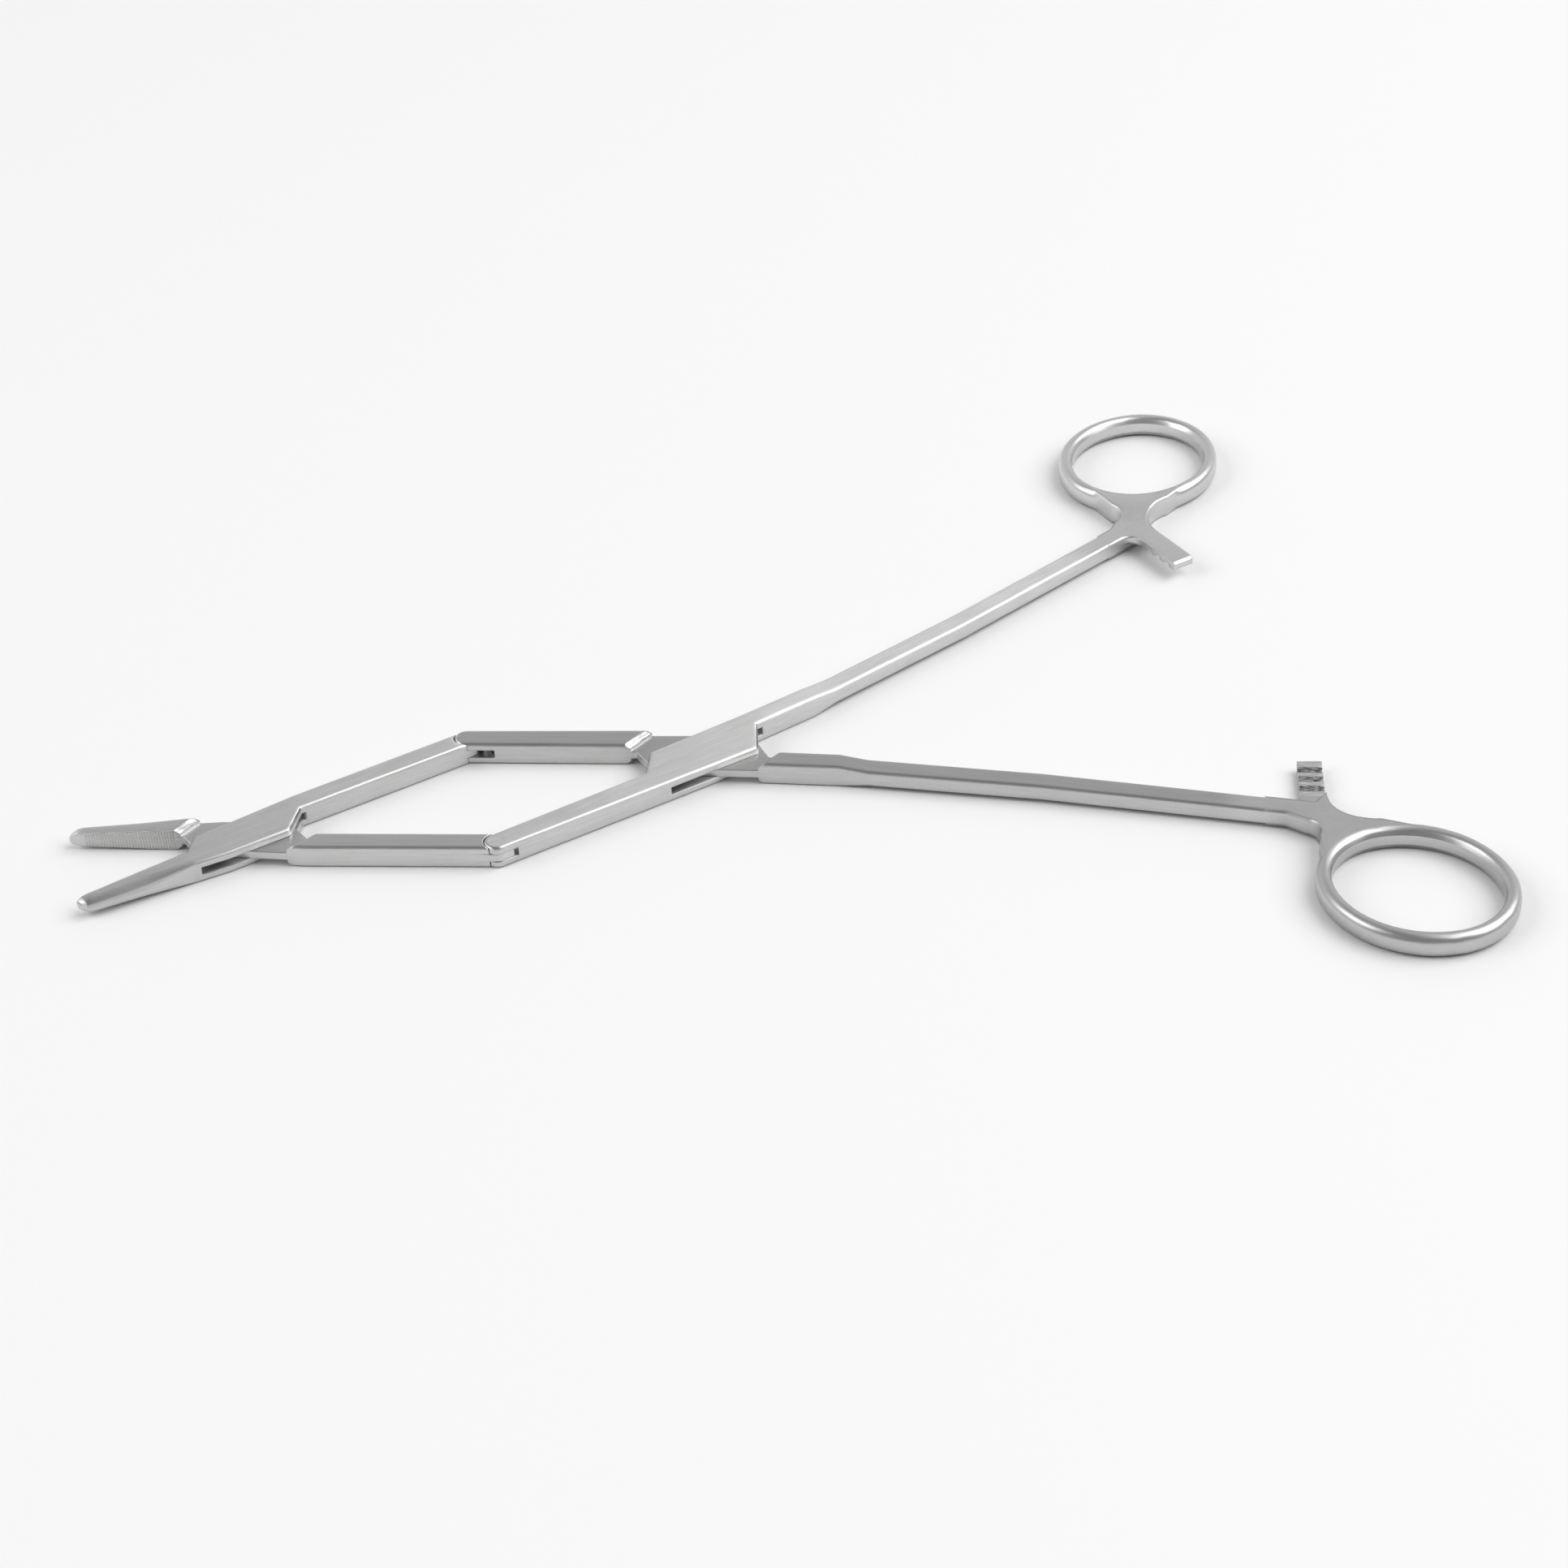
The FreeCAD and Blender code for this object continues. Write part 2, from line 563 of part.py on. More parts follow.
def add_fork(body, side):
    """Slot and pin hole at the front end of a handle."""
    lean = "(fork_depth_inner-fork_depth_outer)"
    slot = outline(body, "fork_plan", [
        (f"-({PIN_X})-2*knuckle_round", "arm_width-half_gap"),
        (f"-({PIN_X})-2*knuckle_round", "-half_gap-2*arm_width"),
        (f"-({PIN_X})+fork_depth_outer-{lean}", "-half_gap-2*arm_width"),
        (f"-({PIN_X})+fork_depth_inner+{lean}", "arm_width-half_gap"),
    ], side=side)
    cut(body, "fork_slot", slot, SLOT_HEIGHT)
    spot = round_spot(body, "link_pin_spot", f"-({PIN_X})", "-pin_offset", "link_pin_dia/2", side=side)
    cut(body, "link_pin_hole", spot, "2*arm_thick")


def add_ratchet(body, side):
    """Arm towards the other handle, with teeth that face the other handle's teeth."""
    top = "shank_thick/2"
    crest = "ratchet_clear"
    root = "ratchet_clear+tooth_rise"
    corners = [("ratchet_gap", crest)]
    for i in range(3):
        fall = f"ratchet_gap+ratchet_tip+{i}*tooth_pitch"
        corners.append((fall, crest))
        corners.append((f"{fall}+tooth_run", root))
        corners.append((f"{fall}+tooth_run+tooth_root", root))
        corners.append((f"{fall}+tooth_pitch-tooth_crest", crest))
    corners += [
        ("shank_end_y", crest),
        ("shank_end_y", top),
        ("ratchet_gap+tip_bevel", top),
        ("ratchet_gap", f"{top}-tip_bevel"),
    ]
    if side < 0:
        corners = [(f"-({y})", f"-({z})") for y, z in corners]
    profile = outline(body, "ratchet_profile", corners, plane="YZ_Plane", level="ratchet_x")
    raised(body, "ratchet", "Pad", profile, "ratchet_width", symmetric=False)
    start_x, start_y = shank_side("ratchet_x-ratchet_heel", far=False)
    middle = "ratchet_x+ratchet_width/2"
    heel = outline(body, "ratchet_heel_plan", [
        (start_x, start_y, "ratchet_heel", -1),
        ("ratchet_x", f"{start_y}-ratchet_heel+web_inset"),
        (middle, f"{start_y}-ratchet_heel+web_inset"),
        (middle, "shank_end_y"),
        (start_x, "shank_end_y"),
    ], level=crest if side > 0 else f"-{top}", side=side)
    raised(body, "ratchet_heel", "Pad", heel, f"{top}-ratchet_clear", symmetric=False)


def jaw_lever(label, side, has_slot):
    """One jaw lever: jaw, box, arm and the tongue that goes into a handle's fork."""
    body = new_body(label)
    add_jaw_arm(body, side)
    add_jaw(body, side)
    more = "jaw_slot_play" if has_slot else "0"
    zone = box_zone("jaw_box_front", "jaw_box_front_corner", "jaw_box_rear", "jaw_box_rear_corner",
                    "jaw_box_half_width", f"(0.5*slot_front_play+{more})", "0.5*slot_rear_play")
    cross_cut(body, "jaw_box", zone, side, has_slot)
    add_bite(body, side)
    add_link_tongue(body, side)
    box_hole = "box_pin_dia/2" if has_slot else "box_pin_dia/2+pin_clear"
    cut(body, "box_pin_hole", round_spot(body, "box_pin_spot", "0", "0", box_hole), "2*arm_thick")
    swing(body, side, at_jaws=True)
    return body


def jaw_section(body, name, x, width, thick, corner, side):
    """Section of a jaw: flat bite face on the centre line and outer corners rounded in steps."""
    outer = f"-bite_gap-({width})"
    top = f"({thick})/2"
    upper = [(f"{outer}+({corner})*(1-sin({turn}deg))", f"{top}-({corner})*(1-cos({turn}deg))")
             for turn in range(0, 91, 30)]
    lower = [(y, f"-({z})") for y, z in reversed(upper)]
    corners = [("-bite_gap", f"-{top}"), ("-bite_gap", top)] + upper + lower
    return cross_section(body, name, x, corners, side)


def nose_section(body, name, turn, side):
    """Section of the rounded nose, which closes in as an ellipse does."""
    share = f"cos({turn})"
    x = f"-jaw_nose-(jaw_length-jaw_nose)*sin({turn})/sin(nose_turn*1deg)"
    return jaw_section(body, name, x, f"jaw_nose_width*{share}", f"jaw_nose_thick*{share}",
                       f"jaw_nose_round*{share}", side)


def add_jaw(body, side):
    """Tapered jaw with a rounded nose, lofted through its sections."""
    sections = [
        jaw_section(body, "jaw_root", "-jaw_box_front", "jaw_root_width",
                    "arm_thick", "arm_round", side),
        jaw_section(body, "jaw_middle", "-jaw_mid", "jaw_mid_width", "jaw_mid_thick",
                    "jaw_mid_round", side),
        nose_section(body, "jaw_nose_start", "0deg", side),
        nose_section(body, "jaw_nose_first", "nose_turn*0.4deg", side),
        nose_section(body, "jaw_nose_second", "nose_turn*0.75deg", side),
        nose_section(body, "jaw_tip", "nose_turn*1deg", side),
    ]
    for first, second in zip(sections, sections[1:]):
        loft = body.newObject("PartDesign::AdditiveLoft", second.Name + "_loft")
        loft.Profile = (first, [""])
        loft.Sections = [(second, [""])]
        loft.Ruled = True
        settle(loft)


def add_jaw_arm(body, side):
    """Box and arm of a jaw lever in one plan, hollowed round the end of the fork."""
    corners = [
        (f"{PIN_X}-horn_relief", "half_gap"),
        ("jaw_box_rear", "half_gap"),
        ("jaw_box_rear_corner", "-jaw_box_half_width"),
        ("-jaw_shoulder", "-jaw_box_half_width"),
        ("-jaw_box_front", "-bite_gap-jaw_root_width"),
        ("-jaw_box_front", "-bite_gap"),
        ("-jaw_box_front_corner", "jaw_wing_width"),
        ("jaw_box_rear", "half_gap+jaw_arm_width"),
        (f"{PIN_X}-horn_relief_outer", "half_gap+jaw_arm_width"),
    ]
    plan = outline(body, "arm_plan", corners, side=side)
    raised(body, "arm", "Pad", plan, "arm_thick")
    spots = [(number(x), side * number(y)) for x, y in corners]
    rounded(body, "box_corners", "wing_corner", lambda e: is_upright(e, [spots[2], spots[6]]))
    rounded(body, "arm_edges", "arm_round", lambda e: at_level(e, number(HALF_THICK))
            and e.BoundBox.XMax > number("-jaw_box_front") + 1e-3
            and e.BoundBox.XMin < number(f"{PIN_X}-horn_relief") - 1e-3)
    hollow = round_spot(body, "hollow_spot", PIN_X, "pin_offset", "knuckle_round+knuckle_clear",
                        side=side)
    cut(body, "hollow", hollow, "2*arm_thick")


def add_link_tongue(body, side):
    """Tongue past the knuckle pin, flush with the fork's outer side at rest."""
    root = f"{PIN_X}-2*knuckle_round"
    plan = outline(body, "tongue_plan", [
        (root, "half_gap"),
        (f"{PIN_X}+toe_start", "half_gap"),
        (f"{PIN_X}+tongue_reach-toe_corner", "pin_offset-3*toe_corner"),
        (f"{PIN_X}+tongue_reach", "pin_offset+toe_corner"),
        (f"{PIN_X}+knuckle_round*cos(heel_turn*1deg)", "pin_offset+knuckle_round*sin(heel_turn*1deg)",
         "knuckle_round", 1),
        (f"{PIN_X}", "pin_offset+knuckle_round"),
        (root, "half_gap+jaw_arm_width"),
    ], side=side)
    raised(body, "tongue", "Pad", plan, "tongue_thick")
    spot = round_spot(body, "link_pin_spot", PIN_X, "pin_offset", "link_pin_dia/2+pin_clear", side=side)
    cut(body, "link_pin_hole", spot, "2*arm_thick")


def add_bite(body, side):
    """Row of grooves across the bite face."""
    groove = outline(body, "groove_plan", [
        ("-groove_start-groove_width/2", "-bite_gap/2"),
        ("-groove_start", "-bite_gap-groove_depth"),
        ("-groove_start+groove_width/2", "-bite_gap/2"),
    ], side=side)
    first = cut(body, "groove", groove, "2*arm_thick")
    row = body.newObject("PartDesign::LinearPattern", "groove_row")
    row.Originals = [first]
    row.Direction = (plane_of(body, "YZ_Plane"), [""])
    row.Reversed = True
    row.setExpression("Length", bound("groove_pitch*(groove_count-1)"))
    row.setExpression("Occurrences", bound("groove_count"))
    body.Tip = row
    settle(row)


def pin(label, diameter, x, y):
    """Plain pin, ground flush with both sides of the lever that holds it."""
    cylinder = doc.addObject("Part::Cylinder", label)
    cylinder.Label = label
    cylinder.setExpression("Radius", bound(f"{diameter}/2"))
    cylinder.setExpression("Height", bound("arm_thick"))
    cylinder.setExpression("Placement.Base.x", bound(x))
    cylinder.setExpression("Placement.Base.y", bound(y))
    return cylinder


nodes = [
    handle("handle_female", 1, has_slot=True),
    handle("handle_male", -1, has_slot=False),
    jaw_lever("jaw_female", 1, has_slot=True),
    jaw_lever("jaw_male", -1, has_slot=False),
    pin("handle_box_pin", "box_pin_dia", "0", "0"),
    pin("jaw_box_pin", "box_pin_dia", f"-2*{KNUCKLE_X}", "0"),
    pin("upper_link_pin", "link_pin_dia", f"-{KNUCKLE_X}", KNUCKLE_Y),
    pin("lower_link_pin", "link_pin_dia", f"-{KNUCKLE_X}", f"-{KNUCKLE_Y}"),
]
doc.recompute()

for item in doc.Objects:
    if "Invalid" in item.State or "Error" in item.State:
        raise RuntimeError(f"{item.Name} did not build: {item.State}")
for node in nodes:
    if node.Shape.isNull() or not node.Shape.isValid():
        raise RuntimeError(f"{node.Label} has no valid shape")
    print(f"{node.Label}: {len(node.Shape.Solids)} solid, {node.Shape.Volume:.1f} mm3")

os.makedirs("parts", exist_ok=True)
for node in nodes:
    node.Shape.exportStep(f"parts/{node.Label}.step")
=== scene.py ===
import json
import math

import bpy
from mathutils import Matrix, Vector

# The needle holder as photographed: satin stainless steel on white paper between two soft boxes.

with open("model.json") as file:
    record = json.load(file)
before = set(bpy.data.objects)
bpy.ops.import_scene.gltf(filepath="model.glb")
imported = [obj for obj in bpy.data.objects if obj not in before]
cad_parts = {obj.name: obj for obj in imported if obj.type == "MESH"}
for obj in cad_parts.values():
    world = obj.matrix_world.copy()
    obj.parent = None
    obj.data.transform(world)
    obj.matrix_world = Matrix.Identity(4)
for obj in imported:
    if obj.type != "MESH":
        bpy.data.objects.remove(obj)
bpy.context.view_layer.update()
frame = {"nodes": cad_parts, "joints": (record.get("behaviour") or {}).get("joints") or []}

MM = 0.001
JOINTS = {joint["name"]: joint for joint in frame["joints"]}

# Camera that matches the photograph's view, in the row frame
CAMERA_PLACE = Vector((-75.61, -408.14, 303.95)) * MM
CAMERA_AZIMUTH = math.radians(-11.98)
CAMERA_ELEVATION = math.radians(36.62)
CAMERA_ROLL = math.radians(3.17)
CAMERA_NEAREST = 0.01
CAMERA_FARTHEST = 20.0
FOCAL_PIXELS = 3977.88
IMAGE_PIXELS = 1932
SENSOR = 36.0

# From the joints: half of the closing travel, the pivots in metres, and in millimetres the middle height
# and the near knuckle, turned back into the closed plan
OPENING = math.radians(JOINTS["handle_box"]["range_deg"][1] / 2)
HANDLE_PIVOT = Vector((0, 0, 0))
JAW_PIVOT = Vector((JOINTS["jaw_box"]["pos_m"][0], 0, 0))
HALF_HEIGHT = JOINTS["handle_box"]["pos_m"][2] / MM
KNUCKLE = Matrix.Rotation(-OPENING, 3, "Z") @ Vector(JOINTS["lower_knuckle"]["pos_m"]) / MM

# Closed plan of a lever, in millimetres from its box pivot
SHANK_BEND = 20.0
SHANK_SLOPE = 0.16
BEND_REACH = 4.0
WEB_START = 86.0
RING_PLACE = (107.36, 33.08)
RING_MIDDLE = 13.4
CROWN_TOP = 1.5
CREASE_LEVEL = 0.86
CREST_LEVEL = 0.06
BITE_GAP = 0.08
BOX_REACH = 13.0

# Ramps of the worked places: each goes from 0 at its first number to 1 at its second, in millimetres or,
# for a facing, in shares of the normal
WEB_ALONG = (WEB_START - 4, WEB_START + 4)
WEB_EDGE_ALONG = (WEB_START - 6, WEB_START + 3)
WEB_EDGE_ACROSS = (11.5, 13.0)
RING_NEAR = (RING_MIDDLE + 3.5, RING_MIDDLE + 1.5)
RING_INSIDE = (RING_MIDDLE + 1.2, RING_MIDDLE + 0.8)
RING_INWARD = (-0.5, -3.0)
RATCHET_ALONG = (WEB_START, WEB_START + 2)
RATCHET_ACROSS = (10.5, 10.0)
RATCHET_FACING = (0.2, 0.4)
NOTCH_LEVEL = (CREST_LEVEL + 0.02, CREST_LEVEL + 0.09)
BITE_ALONG = (-8.0, -9.5)
BITE_FACING = (0.5, 0.9)
GROOVE_ACROSS = (BITE_GAP + 0.03, BITE_GAP + 0.12)
CUT_ALONG = (-26.5, -24.0)
SHOULDER_ALONG = (BOX_REACH + 1, BOX_REACH)
SHOULDER_LEVEL = (1.0, 1.1)
SHOULDER_STEEP_FACING = (0.2, 0.35)
SHOULDER_FLAT_FACING = (0.92, 0.85)
SHOULDER_END_FACING = (0.2, 0.35)

# Noises: scale per millimetre along each axis, and detail; each lies round its middle value
NOISE_MIDDLE = 0.5
FINE_GRAIN = ((0.3, 7.0, 7.0), 5.0)
STREAKS = ((0.12, 2.2, 2.2), 3.0)
CLOUDS = ((0.15, 0.15, 0.15), 3.0)
GRIT = ((4.0, 4.0, 4.0), 2.0)
TORN_STEEL = ((0.9, 5.0, 4.0), 4.0)
PAINTED_REFLECTION_LINES = ((0.3, 0.3, 4.0), 3.0)

# Shade of the steel: what the noises add, and what multiplies it in the worked places: painted shade on the
# near web, in the ratchet's notches, in the bite grooves and in the recesses, a painted highlight on the
# ratchet's crests, and a painted reflection on the shoulders.
# Four numbers are a ramp, which goes from the third to the fourth while its input goes from the first to
# the second.
FINE_SHADE = 0.16
STREAK_SHADE = 0.16
CLOUD_SHADE = 0.08
GRIT_SHADE = 0.08
WEB_CALM = 0.8
NEAR_WEB_PAINTED_SHADE = 0.86
CREST_PAINTED_HIGHLIGHT = (0.3, 0.7, 0.95, 1.4)
NOTCH_PAINTED_SHADE = (0.38, 0.62, 0.30, 0.90)
GROOVE_PAINTED_SHADE = 0.66
SHOULDER_PAINTED_REFLECTION = (0.40, 0.60, 0.30, 0.70)
RECESS_PAINTED_SHADE = (0.02, 0.42, 0.22, 1.0)
RECESS_REACH = 1.8
BLUE_SHARE = 0.995

# Roughness, and the stretch of the highlights across the brushing, which fades out into the web
ROUGHNESS = 0.24
FINE_ROUGHNESS = 0.12
CLOUD_ROUGHNESS = 0.08
SHOULDER_ROUGHNESS = 0.22
ANISOTROPY = 0.9
QUARTER_TURN = 0.25
STRETCH_END = (WEB_START - 8, WEB_START + 4)
TANGENT_LEAN = (0.004, 0.003, 0.01)

# Bump: heights in steps of the bump distance, which is in millimetres, and waves in radians per millimetre
BUMP_DISTANCE = 0.05
FINE_HEIGHT = 0.10
GRIT_HEIGHT = 0.06
TORN_HEIGHT = 6.0
CREASE_HEIGHT = 7.0
CUT_HEIGHT = 0.5
CUT_WAVES = 12.0

# Rounding of the edges, in millimetres, and the spots round the flush pins that are left flat
EDGE_RADIUS = 0.2
WEB_EDGE_RADIUS = 0.95
CROWN_RADIUS = 1.3
CROWN_SHARE = 0.25
BOX_PIN_SPOT = (2.4, 2.6)
KNUCKLE_PIN_SPOT = (1.0, 1.1)

# Meshes: what welds their points, in millimetres, and the angles above which an edge stays sharp
WELD_DISTANCE = 0.0001
HANDLE_EDGE = math.radians(34)
JAW_EDGE = math.radians(25)

# Paper and light, in metres: a soft box has its place, its width and height, and its radiance
FLOOR_REACH = 12.0
PAPER = (0.95, 0.95, 0.95, 1)
PAPER_ROUGHNESS = 0.9
PAPER_SHINE = 0.1
SKY_ACROSS = (-0.1, 0.8, 0.28, 0.66)
SKY_ABOVE = (0.5, 0.85, 1.08, 0.75)
RIGHT_BOX = ((1.62, -0.30, 1.90), (2.5, 2.3), 2.75)
LEFT_BOX = ((-1.90, 0.2, 1.50), (1.7, 1.5), 2.4)

# Levers: node, side of its rear end (1 is the far side), pivot, whether it is a handle, shade, and pins.
# The shade is the lever's base grey, set lighter or darker per lever as the light falls on it: painted
# light on one and the same steel.
LEVERS = (
    ("handle_female", 1, HANDLE_PIVOT, True, 0.425, ("handle_box_pin", "lower_link_pin")),
    ("handle_male", -1, HANDLE_PIVOT, True, 0.40, ("upper_link_pin",)),
    ("jaw_female", 1, JAW_PIVOT, False, 0.42, ("jaw_box_pin",)),
    ("jaw_male", -1, JAW_PIVOT, False, 0.45, ()),
)


def add_camera():
    """Camera at the photograph's place, turned by its azimuth, elevation and roll."""
    data = bpy.data.cameras.new("camera")
    data.sensor_width = SENSOR
    data.lens = FOCAL_PIXELS / IMAGE_PIXELS * SENSOR
    data.clip_start = CAMERA_NEAREST
    data.clip_end = CAMERA_FARTHEST
    camera = bpy.data.objects.new("camera", data)
    tilt = Matrix.Rotation(math.pi / 2 - CAMERA_ELEVATION, 4, "X")
    turn = Matrix.Rotation(CAMERA_AZIMUTH, 4, "Z") @ tilt @ Matrix.Rotation(-CAMERA_ROLL, 4, "Z")
    camera.matrix_world = Matrix.Translation(CAMERA_PLACE) @ turn
    bpy.context.collection.objects.link(camera)
    bpy.context.scene.camera = camera


class Nodes:
    """Short calls that build a node tree."""

    def __init__(self, tree):
        self.tree = tree

    def add(self, kind, inputs=None, **settings):
        """New node with its settings, and with the named inputs joined."""
        node = self.tree.nodes.new(kind)
        for key, setting in settings.items():
            setattr(node, key, setting)
        for key, value in (inputs or {}).items():
            self.join(value, node.inputs[key])
        return node

    def join(self, value, socket):
        """Link an output to the socket, or set the socket to a constant."""
        if isinstance(value, bpy.types.NodeSocket):
            self.tree.links.new(value, socket)
        else:
            socket.default_value = value

    def fill(self, node, *values):
        """Join the values to the node's first inputs, in order."""
        for socket, value in zip(node.inputs, values):
            self.join(value, socket)
        return node

    def maths(self, operation, *values):
        return self.fill(self.add("ShaderNodeMath", operation=operation), *values).outputs[0]

    def vector(self, operation, *values):
        node = self.fill(self.add("ShaderNodeVectorMath", operation=operation), *values)
        return node.outputs["Value" if operation in ("DOT_PRODUCT", "LENGTH") else "Vector"]

    def split(self, vector):
        return self.add("ShaderNodeSeparateXYZ", {"Vector": vector}).outputs

    def merge(self, x, y, z):
        return self.add("ShaderNodeCombineXYZ", {"X": x, "Y": y, "Z": z}).outputs[0]

    def turn(self, vector, angle):
        """The vector turned about the vertical."""
        node = self.add("ShaderNodeVectorRotate", rotation_type="Z_AXIS")
        self.join(vector, node.inputs["Vector"])
        self.join(angle, node.inputs["Angle"])
        return node.outputs[0]

    def times(self, *values):
        """Product of all the values."""
        result = values[0]
        for value in values[1:]:
            result = self.maths("MULTIPLY", result, value)
        return result

    def total(self, start, *parts):
        """Start plus each part times its weight."""
        for part, weight in parts:
            start = self.maths("ADD", start, self.times(part, weight))
        return start

    def rest(self, share):
        """What the share leaves of 1."""
        return self.maths("SUBTRACT", 1.0, share)

    def mix(self, share, first, second):
        """First where the share is 0, second where it is 1."""
        return self.maths("ADD", self.times(share, second), self.times(self.rest(share), first))

    def tint(self, shade, share, factor):
        """The shade, multiplied by the factor where the share is 1."""
        return self.times(shade, self.mix(share, 1.0, factor))

    def ramp(self, value, low, high, start=0.0, end=1.0):
        """Map value from low..high to start..end, held at the ends."""
        node = self.add("ShaderNodeMapRange", clamp=True, interpolation_type="SMOOTHSTEP")
        return self.fill(node, value, low, high, start, end).outputs[0]

    def noise(self, place, scale, detail):
        """Noise at the place, with a scale of its own along each axis."""
        spread = self.vector("MULTIPLY", place, scale)
        return self.add("ShaderNodeTexNoise", {"Vector": spread, "Scale": 1.0, "Detail": detail}).outputs[0]


class Steel(Nodes):
    """Satin stainless steel of one lever, worked out in the lever's closed plan, in millimetres."""

    def __init__(self, name, side, pivot, handle, shade, pin):
        self.material = bpy.data.materials.new(name)
        self.material.use_nodes = True
        super().__init__(self.material.node_tree)
        self.side = side
        self.handle = handle
        # Base grey of this lever: painted light, set lighter or darker per lever as the light falls on it
        self.shade = shade
        self.pin = pin
        coordinates = self.add("ShaderNodeTexCoord").outputs
        self.plan = self.add("ShaderNodeMapping", {
            "Vector": coordinates["Object"], "Location": pivot,
            "Rotation": (0, 0, side * OPENING), "Scale": (MM, MM, MM),
        }, vector_type="TEXTURE").outputs[0]
        self.x, self.y, self.z = self.split(self.plan)
        self.level = self.maths("ABSOLUTE", self.maths("SUBTRACT", self.z, HALF_HEIGHT))
        self.inner = self.times(self.y, side)
        self.facing = self.split(self.turn(coordinates["Normal"], -side * OPENING))

    def way_from(self, x, y):
        """Way in the plan from a spot to the shaded place."""
        return self.merge(self.maths("SUBTRACT", self.x, x), self.maths("SUBTRACT", self.y, y), 0.0)

    def near_spot(self, x, y, inner, outer):
        """1 within inner of the spot, 0 beyond outer."""
        return self.ramp(self.vector("LENGTH", self.way_from(x, y)), inner, outer, 1.0, 0.0)

    def from_ring(self):
        """Way in the plan from the middle of the finger ring, and its length."""
        out = self.way_from(RING_PLACE[0], self.side * RING_PLACE[1])
        return out, self.vector("LENGTH", out)

    def brush(self):
        """Direction of the brushing in the plan, and the place along it, across it and above the table."""
        if not self.handle:
            return self.merge(1.0, 0.0, 0.0), self.plan
        slope = self.side * SHANK_SLOPE
        past = self.maths("SMOOTH_MAX", self.maths("SUBTRACT", self.x, SHANK_BEND), 0.0, BEND_REACH)
        across = self.maths("SUBTRACT", self.y, self.times(past, slope))
        lean = self.ramp(self.x, SHANK_BEND - BEND_REACH, SHANK_BEND + BEND_REACH, 0.0, slope)
        return self.merge(1.0, lean, 0.0), self.wind(self.x, across)

    def wind(self, along, across):
        """The place along, across and above, wound round the finger ring where that is near."""
        out, radius = self.from_ring()
        parts = self.split(out)
        angle = self.maths("ARCTAN2", parts[1], parts[0])
        near = self.ramp(radius, *RING_NEAR)
        along = self.mix(near, along, self.times(angle, RING_MIDDLE))
        return self.merge(along, self.mix(near, across, radius), self.z)

    def inner_wall(self):
        """1 on the inner wall of the finger ring."""
        out, radius = self.from_ring()
        facing = self.merge(self.facing[0], self.facing[1], 0.0)
        inward = self.ramp(self.vector("DOT_PRODUCT", facing, out), *RING_INWARD)
        return self.times(inward, self.ramp(radius, *RING_INSIDE))

    def crease(self):
        """Height of the ring's crown, which leans in and ends in a crease above the flat inner wall."""
        below = self.maths("MAXIMUM", self.maths("SUBTRACT", CROWN_TOP, self.level), 0.0)
        below = self.maths("MINIMUM", below, CROWN_TOP - CREASE_LEVEL)
        return self.times(below, below, CREASE_HEIGHT)

    def ratchet(self):
        """1 in the notches of the ratchet, and 1 on the crests between them."""
        along = self.ramp(self.x, *RATCHET_ALONG)
        across = self.ramp(self.inner, *RATCHET_ACROSS)
        facing = self.ramp(self.times(self.facing[2], -self.side), *RATCHET_FACING)
        toothed = self.times(along, across, facing)
        deep = self.ramp(self.level, *NOTCH_LEVEL)
        return self.times(toothed, deep), self.times(toothed, self.rest(deep))

    def bite(self):
        """1 on the serrated face of a jaw."""
        inward = self.ramp(self.times(self.facing[1], self.side), *BITE_FACING)
        return self.times(inward, self.ramp(self.x, *BITE_ALONG))

    def cross_cut(self):
        """Height of the fine pyramids on the bite face, which fade at the tip."""
        first = self.maths("SINE", self.times(self.maths("ADD", self.x, self.z), CUT_WAVES))
        second = self.maths("SINE", self.times(self.maths("SUBTRACT", self.x, self.z), CUT_WAVES))
        return self.times(self.maths("ADD", first, second), self.ramp(self.x, *CUT_ALONG), CUT_HEIGHT)

    def shoulder(self):
        """1 on the sloped shoulders beside a box lock."""
        up = self.maths("ABSOLUTE", self.facing[2])
        return self.times(
            self.ramp(up, *SHOULDER_STEEP_FACING),
            self.ramp(up, *SHOULDER_FLAT_FACING),
            self.ramp(self.maths("ABSOLUTE", self.x), *SHOULDER_ALONG),
            self.ramp(self.maths("ABSOLUTE", self.facing[0]), *SHOULDER_END_FACING),
            self.ramp(self.level, *SHOULDER_LEVEL),
        )

    def rounding(self):
        """Normal rounded over the edges, with a slight crown beyond them, but not over the flush pins."""
        radius = EDGE_RADIUS
        if self.handle:
            web = self.times(self.ramp(self.x, *WEB_EDGE_ALONG), self.ramp(self.inner, *WEB_EDGE_ACROSS))
            radius = self.mix(self.times(web, self.rest(self.inner_wall())), EDGE_RADIUS, WEB_EDGE_RADIUS)
        box_pin = self.near_spot(0, 0, *BOX_PIN_SPOT)
        way = 1 if self.handle else -1
        knuckle_pin = self.near_spot(way * KNUCKLE.x, way * self.side * KNUCKLE.y, *KNUCKLE_PIN_SPOT)
        clear = self.rest(self.maths("MAXIMUM", box_pin, knuckle_pin))
        edge = self.add("ShaderNodeBevel", {"Radius": self.times(radius, clear, MM)}, samples=14)
        crown = self.add("ShaderNodeBevel", {"Radius": self.times(CROWN_RADIUS, clear, MM)}, samples=8)
        both = self.add("ShaderNodeMix", {"Factor": CROWN_SHARE}, data_type="VECTOR")
        self.join(edge.outputs[0], both.inputs[4])
        self.join(crown.outputs[0], both.inputs[5])
        return self.vector("NORMALIZE", both.outputs[1])

    def tangent(self, direction):
        """The brushing's direction in the world, with a small lean that keeps it off every normal."""
        turned = self.turn(direction, self.side * OPENING)
        world = self.add("ShaderNodeVectorTransform", {"Vector": turned}, vector_type="VECTOR",
                         convert_from="OBJECT", convert_to="WORLD").outputs[0]
        return self.vector("ADD", world, TANGENT_LEAN)

